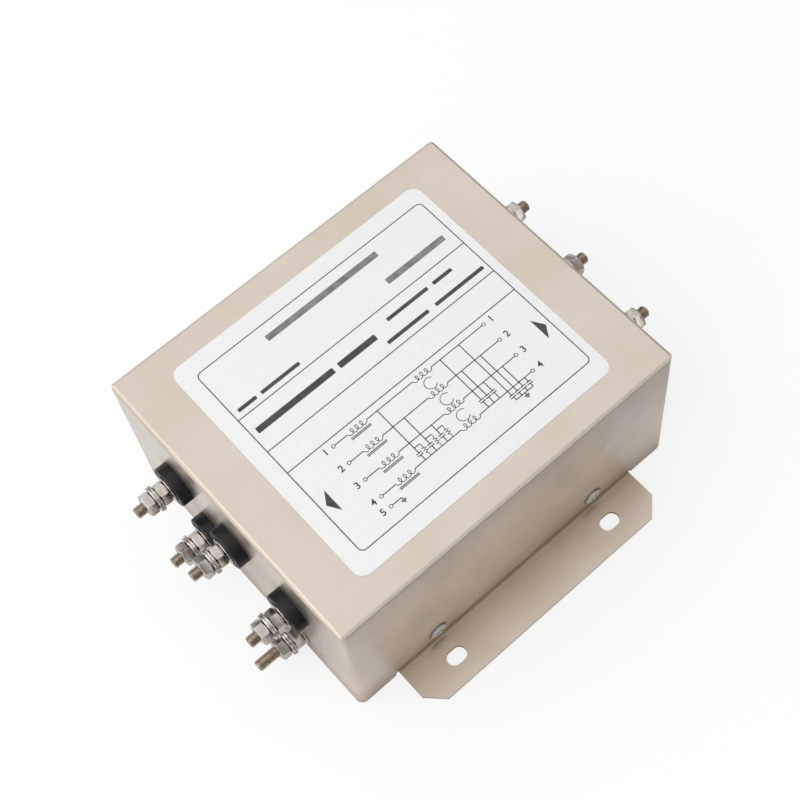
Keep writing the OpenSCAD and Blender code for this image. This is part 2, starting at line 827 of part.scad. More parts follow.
module winding(od, id, h, wire, turns, sector, start) {
    path = winding_path(od, id, h, wire, turns, sector, start);
    wire(
        [for (p = path) [p[0] * cos(p[1]), p[0] * sin(p[1]), p[2]]],
        wire,
        [for (p = path) [-sin(p[1]), cos(p[1]), 0]]
    );
}

module line_choke_cores() {
    color("#d8c24a") for (y = line_choke_ys)
        translate([line_choke_x, y, core_z(line_core_h, line_wire_d)])
            core(line_core_od, line_core_id, line_core_h, line_core_edge_r);
}

module line_choke_windings() {
    color("#b5652d") for (y = line_choke_ys)
        translate([line_choke_x, y, core_z(line_core_h, line_wire_d)])
            winding(line_core_od, line_core_id, line_core_h, line_wire_d, line_turns, line_sector,
                180 - line_sector / 2);
}

module at_common_mode_choke() {
    translate([cm_x, 0, core_z(cm_core_h, cm_wire_d)]) children();
}

module common_mode_core() {
    color("#4a4c50") at_common_mode_choke() core(cm_core_od, cm_core_id, cm_core_h, cm_core_edge_r);
}

// The quarter of the core that a phase's winding takes
module common_mode_winding(quarter) {
    color("#b5652d") at_common_mode_choke()
        winding(cm_core_od, cm_core_id, cm_core_h, cm_wire_d, cm_turns, cm_sector,
            quarter * 90 + 45 - cm_sector / 2);
}

module common_mode_winding_1() common_mode_winding(0);
module common_mode_winding_2() common_mode_winding(1);
module common_mode_winding_3() common_mode_winding(2);
module common_mode_winding_n() common_mode_winding(3);

// ---- Capacitors and resistors ----

// Pin down through the board
module pin() {
    translate([0, 0, -(board_t + pin_tail)]) cylinder(h = board_t + pin_tail + 0.1, d = pin_d);
}

// Film capacitor in a moulded box with a pin at each end, long along X
module box_capacitor(l, w, h, pin_inset) {
    linear_extrude(h) rounded_rect(l, w, cap_edge_r);
    for (x = [-1, 1]) translate([x * (l / 2 - pin_inset), 0, 0]) pin();
}

module x_capacitors(x) {
    color("#e3b23c") for (y = x_cap_ys) translate([x, y, board_top]) rotate(90)
        box_capacitor(x_cap_l, x_cap_w, x_cap_h, x_cap_pin_inset);
}

module line_x_capacitors() x_capacitors(line_bank_x);
module load_x_capacitors() x_capacitors(load_bank_x);

module y_capacitors() {
    color("#3d7fb5") for (place = y_caps) translate([place[0], place[1], board_top])
        box_capacitor(y_cap_l, y_cap_w, y_cap_h, y_cap_pin_inset);
}

// Resistor lying on the board, its leads bent down through it
module discharge_resistors() {
    lead_z = resistor_d / 2;
    color("#4f9fb0") for (place = resistors) translate([place[0], place[1], board_top]) {
        translate([0, 0, lead_z]) rotate([0, 90, 0]) {
            cylinder(h = resistor_l, d = resistor_d, center = true);
            cylinder(h = 2 * resistor_reach, d = pin_d, center = true);
        }
        for (x = [-1, 1]) translate([x * resistor_reach, 0, 0]) {
            pin();
            cylinder(h = lead_z, d = pin_d);
            translate([0, 0, lead_z]) sphere(d = pin_d);
        }
    }
}

// ---- Leads from the lugs to the board ----

// Depth of a lug's barrel behind the outer face of the wall
function barrel_depth(depth) = depth + hole_gap + barrel_d / 2;

// From a barrel that points down (way = -1) or up (way = 1) to the board's edge
function pole_lead_path(side, pole, way) =
    let (
        x0 = side * (box_l / 2 - barrel_depth(lug_depth)),
        x1 = side * (box_l / 2 - lead_pad_depth),
        y = poles[pole][0],
        z0 = poles[pole][1],
        start = [x0, y, z0 + way * (barrel_at + barrel_l - lead_in)],
        mouth = [x0, y, z0 + way * (barrel_at + barrel_l)],
        pad = [x1, y, board_top],
        end = way < 0 ? pad + [0, 0, lead_foot] : [x1, y, mouth[2]],
        reach = way < 0 ? 0.55 * (mouth[2] - board_top) : 2 * lead_d
    )
    concat(
        [start],
        [for (k = [0 : lead_steps])
            bezier(mouth, mouth + [0, 0, way * reach], end + [0, 0, reach], end, k / lead_steps)],
        [pad]
    );

module pole_leads(side) {
    color("#30343a") for (pole = [0 : len(poles) - 1]) {
        path = pole_lead_path(side, pole, lug_turns[pole] == 180 ? -1 : 1);
        wire(path, lead_d, [for (p = path) [0, 1, 0]]);
    }
}

module line_leads() pole_leads(LINE);
module load_leads() pole_leads(LOAD);

module earth_lead() {
    x0 = -(box_l / 2 - barrel_depth(earth_lug_depth));
    mouth_y = -(earth_y + barrel_at + barrel_l);
    mouth = [x0, mouth_y, earth_z];
    pad_y = -(board_w / 2 - spacer_inset - screw_head_d / 2 - earth_lead_screw_gap - lead_d / 2);
    pad = [-(box_l / 2 - lead_pad_depth), pad_y, board_top];
    path = concat(
        [[x0, mouth_y + lead_in, earth_z]],
        [for (k = [0 : lead_steps])
            bezier(mouth, mouth - [0, earth_lead_out, 0], pad + [0, 0, earth_lead_drop],
                pad + [0, 0, lead_foot], k / lead_steps)],
        [pad]
    );
    color("#5f8f3c") wire(path, lead_d, [for (p = path) unit([1, 1, 1])]);
}

cover();
bottom_tray();
blind_rivets();
blank_label();
line_outer_bushings();
line_inner_bushings();
line_studs();
line_seat_washers();
line_clamp_nuts();
line_flat_washers();
line_lock_washers();
line_terminal_nuts();
line_ring_lugs();
line_inner_nuts();
load_outer_bushings();
load_inner_bushings();
load_studs();
load_seat_washers();
load_clamp_nuts();
load_flat_washers();
load_lock_washers();
load_terminal_nuts();
load_ring_lugs();
load_inner_nuts();
earth_stud();
earth_seat_washer();
earth_clamp_nut();
earth_flat_washer();
earth_lock_washer();
earth_terminal_nut();
earth_ring_lug();
earth_inner_nut();
insulating_liner();
board_spacers();
circuit_board();
board_screws();
line_choke_cores();
line_choke_windings();
common_mode_core();
common_mode_winding_1();
common_mode_winding_2();
common_mode_winding_3();
common_mode_winding_n();
line_x_capacitors();
load_x_capacitors();
y_capacitors();
discharge_resistors();
line_leads();
load_leads();
earth_lead();
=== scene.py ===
from functools import partial
from math import cos, pi, radians, sin, tau

import bmesh
import bpy
from mathutils import Matrix, Vector


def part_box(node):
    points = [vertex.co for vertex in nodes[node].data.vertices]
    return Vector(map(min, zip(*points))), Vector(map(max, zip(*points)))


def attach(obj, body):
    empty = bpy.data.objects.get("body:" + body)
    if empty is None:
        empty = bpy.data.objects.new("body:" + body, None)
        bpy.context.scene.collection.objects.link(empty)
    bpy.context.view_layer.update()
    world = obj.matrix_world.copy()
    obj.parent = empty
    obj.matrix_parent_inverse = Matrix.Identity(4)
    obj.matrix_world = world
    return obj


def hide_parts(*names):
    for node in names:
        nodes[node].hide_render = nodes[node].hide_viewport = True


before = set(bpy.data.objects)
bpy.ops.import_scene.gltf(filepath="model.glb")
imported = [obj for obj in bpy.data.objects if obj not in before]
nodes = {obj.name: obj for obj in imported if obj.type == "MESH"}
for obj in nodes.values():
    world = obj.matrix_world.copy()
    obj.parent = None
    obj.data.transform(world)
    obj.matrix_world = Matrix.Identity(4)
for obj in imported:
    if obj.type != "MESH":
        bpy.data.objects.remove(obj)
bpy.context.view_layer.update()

# Sizes below are in millimetres, as on a drawing, and MM turns them into scene metres.
MM = 0.001
# Points closer than this are one
MERGE_DIST = 0.002


# ---- Helpers ----

def srgb(hex_colour):
    """An sRGB hex colour as linear RGBA."""
    channels = [int(hex_colour[i:i + 2], 16) / 255 for i in (1, 3, 5)]
    return [c / 12.92 if c <= 0.04045 else ((c + 0.055) / 1.055) ** 2.4 for c in channels] + [1.0]


def add(tree, kind, inputs=None, **settings):
    """Adds a node, sets its properties, and fills or links its input sockets."""
    node = tree.nodes.new(kind)
    for name, value in settings.items():
        setattr(node, name, value)
    for socket, value in (inputs or {}).items():
        if isinstance(value, bpy.types.NodeSocket):
            tree.links.new(value, node.inputs[socket])
        else:
            node.inputs[socket].default_value = value
    return node


def new_object(name, mesh):
    """A new object in the scene from a mesh or a text."""
    piece = bpy.data.objects.new(name, mesh)
    bpy.context.scene.collection.objects.link(piece)
    return piece


def plain_mesh(piece):
    """Replaces an object's mesh by its finished shape and takes its modifiers away."""
    graph = bpy.context.evaluated_depsgraph_get()
    mesh = bpy.data.meshes.new_from_object(piece.evaluated_get(graph))
    piece.modifiers.clear()
    piece.data = mesh
    return piece


def joined_faces(name):
    """A CAD node's mesh with its loose triangles merged."""
    shape = bmesh.new()
    shape.from_mesh(nodes[name].data)
    bmesh.ops.remove_doubles(shape, verts=shape.verts, dist=MERGE_DIST * MM)
    return shape


def solids(name):
    """Lowest and highest corners of each separate solid in a CAD node, in metres."""
    shape = joined_faces(name)
    waiting = set(shape.verts)
    boxes = []
    while waiting:
        group = [waiting.pop()]
        for vert in group:
            for edge in vert.link_edges:
                other = edge.other_vert(vert)
                if other in waiting:
                    waiting.remove(other)
                    group.append(other)
        places = [vert.co for vert in group]
        boxes.append((
            Vector([min(p[axis] for p in places) for axis in range(3)]),
            Vector([max(p[axis] for p in places) for axis in range(3)]),
        ))
    shape.free()
    return sorted(boxes, key=lambda box: tuple(round(v, 4) for v in box[0]))


def give_finish(piece, material):
    """Puts one material on every slot of a piece."""
    if not piece.material_slots:
        piece.data.materials.append(material)
    for slot in piece.material_slots:
        slot.material = material


def place_piece(piece, slot, *replaced):
    """Rides a finished piece on the filter and hides the CAD nodes that it stands for; its slot is not used.
    """
    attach(piece, "root")
    if replaced:
        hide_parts(*replaced)


# ---- Materials ----

# Sockets of a colour Mix node
MIX_A = 6
MIX_B = 7
MIX_RESULT = 2

# Axis and head radius of the rivets, and the ring that the broken mandrel leaves
RIVET_X = 33.0
RIVET_Z = 7.5
HEAD_R = 3.25
MANDREL_R = 1.05

# Middle line of the flange slots, and how far their cut walls lie from it at most
SLOT_Y = 62.7
SLOT_REACH = 2.9
# Height just above the flanges, and one between the flanges' bends and the top's
FLANGE_TOP = 1.4
MID_HEIGHT = 30.0

# Brown specks: the cell that each may stand in, the draw above which it does, and the radii of its
# full core and of its faded edge
SPECK_CELL = 7.0
SPECK_DRAW = 0.86
SPECK_CORE_R = 0.245
SPECK_EDGE_R = 0.63

# How far off other metal the painted shade of inside corners reaches, and the roughness that bending leaves
CORNER_SHADE_REACH = 16
BEND_ROUGHNESS = 0.55


def maths(tree, operation, *values):
    """The result of one Math node."""
    return add(tree, "ShaderNodeMath", dict(enumerate(values)), operation=operation).outputs[0]


def ramp(tree, value, start, end, low=0.0, high=1.0, **settings):
    """Runs from low to high while a value goes from start to end, and stays level beyond."""
    inputs = {"Value": value, "From Min": start, "From Max": end, "To Min": low, "To Max": high}
    return add(tree, "ShaderNodeMapRange", inputs, **settings).outputs[0]


def blend(tree, share, under, over):
    """Lays one colour over another by a share."""
    mix = add(tree, "ShaderNodeMix", {0: share, MIX_A: under, MIX_B: over}, data_type="RGBA")
    return mix.outputs[MIX_RESULT]


def noise(tree, mm, size, detail=2.0, roughness=0.5):
    """A cloudy pattern whose clouds have a real size in millimetres."""
    inputs = {"Vector": mm, "Scale": 1 / size, "Detail": detail, "Roughness": roughness}
    return add(tree, "ShaderNodeTexNoise", inputs).outputs[0]


def empty_tree(owner):
    """The node tree of a material or a world, cleared."""
    owner.use_nodes = True
    owner.node_tree.nodes.clear()
    return owner.node_tree


def new_material(name, metallic=0.0):
    """A material with an empty tree, its Principled shader, and Object coordinates in millimetres."""
    material = bpy.data.materials.new(name)
    tree = empty_tree(material)
    shader = add(tree, "ShaderNodeBsdfPrincipled", {"Metallic": metallic})
    add(tree, "ShaderNodeOutputMaterial", {"Surface": shader.outputs[0]})
    place = add(tree, "ShaderNodeTexCoord").outputs["Object"]
    scaled = add(tree, "ShaderNodeVectorMath", {0: place, "Scale": 1 / MM}, operation="SCALE")
    return material, tree, shader, scaled.outputs[0]


def mottled(tree, shader, pattern, light, dark, rough, low=0.35, high=0.65):
    """Runs a pattern into the base colour, light to dark, and into a range of roughness."""
    colour = blend(tree, ramp(tree, pattern, low, high), srgb(light), srgb(dark))
    gloss = ramp(tree, pattern, low, high, *rough)
    tree.links.new(colour, shader.inputs["Base Color"])
    tree.links.new(gloss, shader.inputs["Roughness"])
    return colour, gloss


def relief(tree, shader, pattern, depth):
    """Bump of a real depth in millimetres."""
    bump = add(tree, "ShaderNodeBump", {"Height": pattern, "Distance": depth * MM, "Strength": 1.0})
    tree.links.new(bump.outputs[0], shader.inputs["Normal"])


def from_rivet(tree, place):
    """Distance in millimetres from the axis of the nearest rivet."""
    along = maths(tree, "SUBTRACT", maths(tree, "ABSOLUTE", place[0]), RIVET_X)
    up = maths(tree, "SUBTRACT", place[2], RIVET_Z)
    flat = add(tree, "ShaderNodeCombineXYZ", {0: along, 1: up})
    return add(tree, "ShaderNodeVectorMath", {0: flat.outputs[0]}, operation="LENGTH").outputs["Value"]


def specks(tree, mm):
    """Share of soft spots about 0.9 mm across, in one cell out of seven."""
    cells = add(tree, "ShaderNodeTexVoronoi", {"Vector": mm, "Scale": 1 / SPECK_CELL, "Randomness": 1.0})
    draw = add(tree, "ShaderNodeSeparateColor", {0: cells.outputs["Color"]})
    chosen = maths(tree, "GREATER_THAN", draw.outputs[0], SPECK_DRAW)
    radii = (SPECK_CORE_R / SPECK_CELL, SPECK_EDGE_R / SPECK_CELL)
    return maths(tree, "MULTIPLY", chosen, ramp(tree, cells.outputs["Distance"], *radii, 0.8, 0.0))


def plate_bends(tree, place, level):
    """Shares of bent metal: along the top's edges, and in the flanges' bends."""
    bend = maths(tree, "MULTIPLY", ramp(tree, level, 0.02, 0.25), ramp(tree, level, 0.998, 0.95))
    top_bend = maths(tree, "MULTIPLY", bend, maths(tree, "GREATER_THAN", place[2], MID_HEIGHT))
    return top_bend, maths(tree, "SUBTRACT", bend, top_bend)


def plate_painted_shade(tree, place, level, low_bend):
    """Share of painted shade in the flanges' bends, on the slots' cut walls and round the rivet heads."""
    calc = partial(maths, tree)
    off_slot = calc("ABSOLUTE", calc("SUBTRACT", calc("ABSOLUTE", place[1]), SLOT_Y))
    cut = calc("MULTIPLY", calc("LESS_THAN", off_slot, SLOT_REACH), calc("LESS_THAN", level, 0.3))
    head = ramp(tree, from_rivet(tree, place), HEAD_R + 0.05, HEAD_R + 0.65, 0.7, 0.0)
    return calc("MAXIMUM", calc("MAXIMUM", calc("MULTIPLY", low_bend, 0.75), cut), head)


def satin_nickel_plate():
    """Nickel plated over rolled steel and left satin: a pale, warm metal with blurred reflections, slow
    clouds from the plating bath, painted shade in its inside corners, its flanges' bends, its slots and
    round the rivet heads, painted shade and a painted highlight on the top's bends, and a few brown
    specks on the flanges."""
    material, tree, shader, mm = new_material("satin_nickel_plate", metallic=1.0)
    place = add(tree, "ShaderNodeSeparateXYZ", {0: mm}).outputs
    cloud = noise(tree, mm, 22, detail=3.0, roughness=0.55)
    colour, gloss = mottled(tree, shader, cloud, "#e1d4c7", "#dbcdbe", (0.27, 0.33))
    # Brown specks on the flanges, where the plating is thin
    on_flange = maths(tree, "LESS_THAN", place[2], FLANGE_TOP)
    colour = blend(tree, maths(tree, "MULTIPLY", specks(tree, mm), on_flange), colour, srgb("#8d6f45"))
    # Painted shade in inside corners, browner and darker where other metal is near
    open_share = add(tree, "ShaderNodeAmbientOcclusion", {"Distance": CORNER_SHADE_REACH * MM}, samples=16)
    painted_corner_shade = ramp(tree, open_share.outputs["AO"], 0.95, 0.45, high=0.6)
    colour = blend(tree, painted_corner_shade, colour, srgb("#a08a70"))
    # The top's bends are matt, with painted shade on its short sides and a painted highlight on its long ones
    normal = add(tree, "ShaderNodeNewGeometry").outputs["Normal"]
    tilt = add(tree, "ShaderNodeSeparateXYZ", {0: normal}).outputs
    level = maths(tree, "ABSOLUTE", tilt[2])
    top_bend, low_bend = plate_bends(tree, place, level)
    matt = add(tree, "ShaderNodeMix", {0: top_bend, 2: gloss, 3: BEND_ROUGHNESS}, data_type="FLOAT")
    tree.links.new(matt.outputs[0], shader.inputs["Roughness"])
    bend_shade_and_highlight = blend(tree, maths(tree, "ABSOLUTE", tilt[1]), srgb("#d2c6b6"), srgb("#fdf3e4"))
    colour = blend(tree, top_bend, colour, bend_shade_and_highlight)
    # Painted shade in the flanges' bends, on the slots' cut walls and round the rivet heads
    colour = blend(tree, plate_painted_shade(tree, place, level, low_bend), colour, srgb("#6d5d4b"))
    tree.links.new(colour, shader.inputs["Base Color"])
    return material


def zinc_sheet():
    """Zinc-plated steel: grey, slightly blue, with broad dull crystals."""
    material, tree, shader, mm = new_material("zinc_sheet", metallic=1.0)
    crystals = add(tree, "ShaderNodeTexVoronoi", {"Vector": mm, "Scale": 1 / 5})
    tone = add(tree, "ShaderNodeSeparateColor", {0: crystals.outputs["Color"]})
    mottled(tree, shader, tone.outputs[0], "#c9c8c4", "#b7b7b4", (0.36, 0.46), low=0.0, high=1.0)
    relief(tree, shader, noise(tree, mm, 0.6), 0.006)
    return material


def rivet_aluminium():
    """Pressed aluminium: pale and slightly blue beside the nickel, scuffed by the riveting tool, with a
    dark ring where the mandrel broke and painted shade along the head's rim."""
    material, tree, shader, mm = new_material("rivet_aluminium", metallic=1.0)
    scuff = noise(tree, mm, 0.9, detail=4.0)
    colour = mottled(tree, shader, scuff, "#f4f4f4", "#e2e2e3", (0.4, 0.55))[0]
    radius = from_rivet(tree, add(tree, "ShaderNodeSeparateXYZ", {0: mm}).outputs)
    off_ring = maths(tree, "ABSOLUTE", maths(tree, "SUBTRACT", radius, MANDREL_R))
    ring = ramp(tree, off_ring, 0.1, 0.32, 0.6, 0.0)
    # Painted shade along the head's rim, where it meets the wall
    rim = ramp(tree, radius, HEAD_R - 0.45, HEAD_R - 0.05, high=0.8)
    colour = blend(tree, maths(tree, "MAXIMUM", ring, rim), colour, srgb("#77736e"))
    tree.links.new(colour, shader.inputs["Base Color"])
    relief(tree, shader, scuff, 0.004)
    return material


def polyester_film():
    """Matt printed polyester: white, a little cool, with a faint unevenness of gloss."""
    material, tree, shader, mm = new_material("polyester_film")
    shader.inputs["IOR"].default_value = 1.5
    mottled(tree, shader, noise(tree, mm, 1.6), "#f7f6f4", "#f4f3f1", (0.46, 0.5))
    return material


def print_ink(name, light, dark):
    """Screen-printed ink: matt, slightly uneven in tone."""
    material, tree, shader, mm = new_material(name)
    mottled(tree, shader, noise(tree, mm, 2.5), light, dark, (0.5, 0.6))
    return material


def black_polyamide():
    """Glass-filled polyamide, moulded: near black and satin, with the fine grain of its glass fibres."""
    material, tree, shader, mm = new_material("black_polyamide")
    shader.inputs["IOR"].default_value = 1.53
    shader.inputs["Specular IOR Level"].default_value = 0.36
    fibres = noise(tree, mm, 0.4, detail=3.0)
    mottled(tree, shader, fibres, "#19191c", "#141417", (0.42, 0.5))
    relief(tree, shader, fibres, 0.006)
    return material


def plated_nut_steel():
    """Cold-formed, nickel-plated nuts: bright grey faces, a little uneven from forming."""
    material, tree, shader, mm = new_material("plated_nut_steel", metallic=1.0)
    forming = noise(tree, mm, 1.2, detail=3.0)
    mottled(tree, shader, forming, "#d2cac4", "#c3bab3", (0.2, 0.26))
    relief(tree, shader, forming, 0.001)
    return material


def punched_washer_steel():
    """Punched, plated washers: smooth and bright, a little uneven in tone."""
    material, tree, shader, mm = new_material("punched_washer_steel", metallic=1.0)
    mottled(tree, shader, noise(tree, mm, 1.2), "#dad5cf", "#c9c3bc", (0.22, 0.28))
    return material


def rolled_stud_steel():
    """Passivated steel with a rolled thread: brownish grey, duller than the plated nuts."""
    material, tree, shader, mm = new_material("rolled_stud_steel", metallic=1.0)
    mottled(tree, shader, noise(tree, mm, 1.5, detail=3.0), "#bcaf9f", "#a09080", (0.3, 0.4))
    return material


def grained(name, light, dark, size, rough, depth, metallic=0.0, coat=0.0):
    """A finish of the inner pieces: two tones in grains of a real size, with their relief."""
    material, tree, shader, mm = new_material(name, metallic)
    shader.inputs["Coat Weight"].default_value = coat
    grain = noise(tree, mm, size, detail=3.0)
    mottled(tree, shader, grain, light, dark, rough)
    relief(tree, shader, grain, depth)
    return material


# The record's slots and the finish that each one gets
FINISHES = {
    "nickel_plated_sheet": satin_nickel_plate(),
    "galvanised_sheet": zinc_sheet(),
    "rivet_aluminium": rivet_aluminium(),
    "label_film": polyester_film(),
    "bushing_plastic": black_polyamide(),
    "stud_steel": rolled_stud_steel(),
    "nut_steel": plated_nut_steel(),
    "washer_steel": punched_washer_steel(),
    # Crimp lugs in tinned copper: soft grey metal with a copper warmth
    "tinned_copper": grained("tinned_copper", "#c9b9a6", "#b39f8a", 1.2, (0.28, 0.4), 0.01, metallic=1.0),
    # Pressed insulating fibre: fawn and dull, with a coarse grain
    "fibre_paper": grained("fibre_paper", "#ccb98f", "#bba77c", 1.5, (0.75, 0.85), 0.03),
    # Turned brass spacers: yellow and bright
    "spacer_brass": grained("turned_brass", "#d9bd72", "#c5a558", 0.8, (0.2, 0.3), 0.005, metallic=1.0),
    # Glass-epoxy board under green solder resist
    "board_laminate": grained("green_laminate", "#44704b", "#3a6340", 0.9, (0.3, 0.4), 0.01, coat=0.4),
    # Iron powder core in a yellow epoxy coat
    "powder_core": grained("yellow_epoxy_core", "#dcc84f", "#cdb53f", 0.7, (0.4, 0.5), 0.03),
    # Sintered ferrite: dark grey and gritty
    "ferrite": grained("sintered_ferrite", "#505257", "#434549", 0.4, (0.5, 0.62), 0.02),
    # Copper wire under clear red-brown enamel
    "enamelled_copper": grained("enamelled_copper", "#c4703a", "#a9592a", 3.0, (0.2, 0.28), 0.003, coat=0.8),
    # Film capacitors potted in yellow and blue moulded boxes
    "capacitor_box": grained("yellow_capacitor_box", "#e6b845", "#dcab38", 1.1, (0.32, 0.42), 0.01),
    "small_capacitor_box": grained("blue_capacitor_box", "#437fb3", "#3974a6", 1.1, (0.3, 0.4), 0.01),
    # Metal-film resistors under teal lacquer
    "resistor_lacquer": grained("resistor_lacquer", "#55a1b1", "#468f9e", 0.9, (0.25, 0.35), 0.02, coat=0.5),
    # Soft sleeves over stranded copper
    "lead_sleeve": grained("black_lead_sleeve", "#363a40", "#2b2e33", 1.4, (0.45, 0.55), 0.01),
    "earth_lead_sleeve": grained("green_lead_sleeve", "#67983f", "#588634", 1.4, (0.45, 0.55), 0.01),
}
for cad_node in nodes.values():
    give_finish(cad_node, FINISHES[cad_node.material_slots[0].material.name])


# ---- Threaded studs ----

# Coarse M4 thread as rolled, drawn with flat crests and roots
THREAD_PITCH = 0.7
THREAD_DEPTH = 0.36
TIP_CHAMFER = 0.55
# Where the flank starts and ends, in pitches from the middle of the root
FLANK = (0.06, 0.42)
ROWS_PER_PITCH = 8
SIDES = 28


def empty_rod_tree():
    """The rod's node group with its sockets, and what it is given."""
    tree = bpy.data.node_groups.new("threaded_rod", "GeometryNodeTree")
    tree.interface.new_socket("Geometry", in_out="INPUT", socket_type="NodeSocketGeometry")
    for name in ("Length", "Diameter", "Pitch", "Depth", "Chamfer", "Lean"):
        tree.interface.new_socket(name, in_out="INPUT", socket_type="NodeSocketFloat")
    tree.interface.new_socket("Finish", in_out="INPUT", socket_type="NodeSocketMaterial")
    tree.interface.new_socket("Geometry", in_out="OUTPUT", socket_type="NodeSocketGeometry")
    return tree, add(tree, "NodeGroupInput").outputs


def thread_radius(tree, given, turn, height):
    """The rod's radius at a share of a turn and a height, with chamfered and closed ends."""
    calc = partial(maths, tree)
    # The flank rises and falls once in a pitch, and a turn moves it on by a pitch
    wave = calc("PINGPONG", calc("SUBTRACT", calc("DIVIDE", height, given["Pitch"]), turn), 0.5)
    flank = calc("MULTIPLY", ramp(tree, wave, *FLANK), given["Depth"])
    crest = calc("MULTIPLY", given["Diameter"], 0.5)
    threaded = calc("ADD", calc("SUBTRACT", crest, given["Depth"]), flank)
    from_end = calc("MINIMUM", height, calc("SUBTRACT", given["Length"], height))
    chamfered = calc("MINIMUM", threaded, calc("ADD", calc("SUBTRACT", crest, given["Chamfer"]), from_end))
    return calc("MULTIPLY", chamfered, calc("GREATER_THAN", from_end, 0.01 * MM))


def threaded_rod_tree():
    """Grows a threaded rod, closed and chamfered at both ends, from every point of its input."""
    tree, given = empty_rod_tree()
    calc = partial(maths, tree)

    # A sheet one turn wide and as long as the rod, rolled up below
    rows = calc("MULTIPLY", calc("DIVIDE", given["Length"], given["Pitch"]), ROWS_PER_PITCH)
    sheet = add(
        tree, "GeometryNodeMeshGrid",
        {"Size X": 1.0, "Size Y": given["Length"], "Vertices X": SIDES + 1, "Vertices Y": rows},
    )
    flat = add(tree, "ShaderNodeSeparateXYZ", {0: add(tree, "GeometryNodeInputPosition").outputs[0]})
    turn = calc("ADD", flat.outputs[0], 0.5)
    height = calc("ADD", flat.outputs[1], calc("MULTIPLY", given["Length"], 0.5))

    radius = thread_radius(tree, given, turn, height)
    angle = calc("MULTIPLY", turn, tau)
    rolled = add(tree, "ShaderNodeCombineXYZ", {
        0: calc("MULTIPLY", radius, calc("COSINE", angle)),
        1: calc("MULTIPLY", radius, calc("SINE", angle)),
        2: height,
    })
    rod = add(tree, "GeometryNodeSetPosition", {"Geometry": sheet.outputs[0], "Position": rolled.outputs[0]})
    rod = add(tree, "GeometryNodeMergeByDistance", {"Geometry": rod.outputs[0], "Distance": MERGE_DIST * MM})
    rod = add(tree, "GeometryNodeSetShadeSmooth", {"Geometry": rod.outputs[0]})
    lean = add(tree, "ShaderNodeCombineXYZ", {1: given["Lean"]})
    turned = add(tree, "FunctionNodeEulerToRotation", {0: lean.outputs[0]})
    rods = add(
        tree, "GeometryNodeInstanceOnPoints",
        {"Points": given["Geometry"], "Instance": rod.outputs[0], "Rotation": turned.outputs[0]},
    )
    real = add(tree, "GeometryNodeRealizeInstances", {"Geometry": rods.outputs[0]})
    finished = add(
        tree, "GeometryNodeSetMaterial", {"Geometry": real.outputs[0], "Material": given["Finish"]}
    )
    add(tree, "NodeGroupOutput", {"Geometry": finished.outputs[0]})
    return tree


THREADED_ROD = threaded_rod_tree()


def threaded_studs(name, source, way):
    """Threads the studs of a CAD node; way is 1 where they point along +X and -1 along -X."""
    boxes = solids(source)
    roots = [
        ((low if way > 0 else high).x, (low.y + high.y) / 2, (low.z + high.z) / 2) for low, high in boxes
    ]
    mesh = bpy.data.meshes.new(name)
    mesh.from_pydata(roots, [], [])
    piece = new_object(name, mesh)
    grow = piece.modifiers.new("thread", "NODES")
    grow.node_group = THREADED_ROD
    low, high = boxes[0]
    values = {
        "Length": high.x - low.x,
        "Diameter": high.z - low.z,
        "Pitch": THREAD_PITCH * MM,
        "Depth": THREAD_DEPTH * MM,
        "Chamfer": TIP_CHAMFER * MM,
        "Lean": way * pi / 2,
        "Finish": FINISHES["stud_steel"],
    }
    for socket in THREADED_ROD.interface.items_tree:
        if socket.in_out == "INPUT" and socket.name in values:
            grow[socket.identifier] = values[socket.name]
    place_piece(plain_mesh(piece), "stud_steel", source)


threaded_studs("line_threaded_studs", "line_studs", -1)
threaded_studs("load_threaded_studs", "load_studs", 1)
threaded_studs("earth_threaded_stud", "earth_stud", -1)


# ---- Nuts and washers with broken edges ----

# Faces that meet at less than the first angle are one, and edges sharper than the second are rounded
FLAT_ANGLE = radians(0.5)
SHARP_ANGLE = radians(25)


def softened(name, source, width):
    """A copy of a CAD node whose sharp edges are rounded, as forming and plating leave them."""
    shape = joined_faces(source)
    bmesh.ops.dissolve_limit(shape, angle_limit=FLAT_ANGLE, verts=shape.verts, edges=shape.edges)
    for face in shape.faces:
        face.smooth = True
    mesh = bpy.data.meshes.new(name)
    shape.to_mesh(mesh)
    shape.free()
    piece = new_object(name, mesh)
    finish = nodes[source].material_slots[0].material
    round_off = piece.modifiers.new("round", "BEVEL")
    round_off.width = width * MM
    round_off.segments = 2
    round_off.limit_method = "ANGLE"
    round_off.angle_limit = SHARP_ANGLE
    round_off.harden_normals = True
    plain_mesh(piece)
    give_finish(piece, finish)
    slot = next(key for key, value in FINISHES.items() if value == finish)
    place_piece(piece, slot, source)


# Radius left on the edges of each kind of piece
EDGE_ROUND = {
    "nut": 0.16,
    "flat_washer": 0.16,
    "lock_washer": 0.14,
    "seat_washer": 0.12,
    "outer_bushing": 0.6,
}
for cad_name in list(nodes):
    for kind, width in EDGE_ROUND.items():
        if kind in cad_name and "inner_nut" not in cad_name:
            softened(cad_name + "_rounded", cad_name, width)


# ---- Label ----

# The film and its print share the thickness of the solid that they stand for
PRINT_T = 0.02
LABEL_R = 3.7
label_low, label_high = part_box("blank_label")
label_l = (label_high.x - label_low.x) / MM
label_w = (label_high.y - label_low.y) / MM
label_mid = (label_low + label_high) / 2
PRINT_TOP = label_high.z / MM


def rounded_outline(x0, x1, y0, y1, r, steps=10):
    """Corner points of a rectangle with round corners, anticlockwise."""
    corners = [(x1 - r, y1 - r, 0), (x0 + r, y1 - r, 90), (x0 + r, y0 + r, 180), (x1 - r, y0 + r, 270)]
    return [
        (x + r * cos(radians(start + 90 * k / steps)), y + r * sin(radians(start + 90 * k / steps)))
        for x, y, start in corners for k in range(steps + 1)
    ]


def fill(ink, outline):
    """Adds one flat patch of print, its outline anticlockwise in the label's millimetres."""
    ink.faces.new([ink.verts.new((x, y, 0)) for x, y in outline])


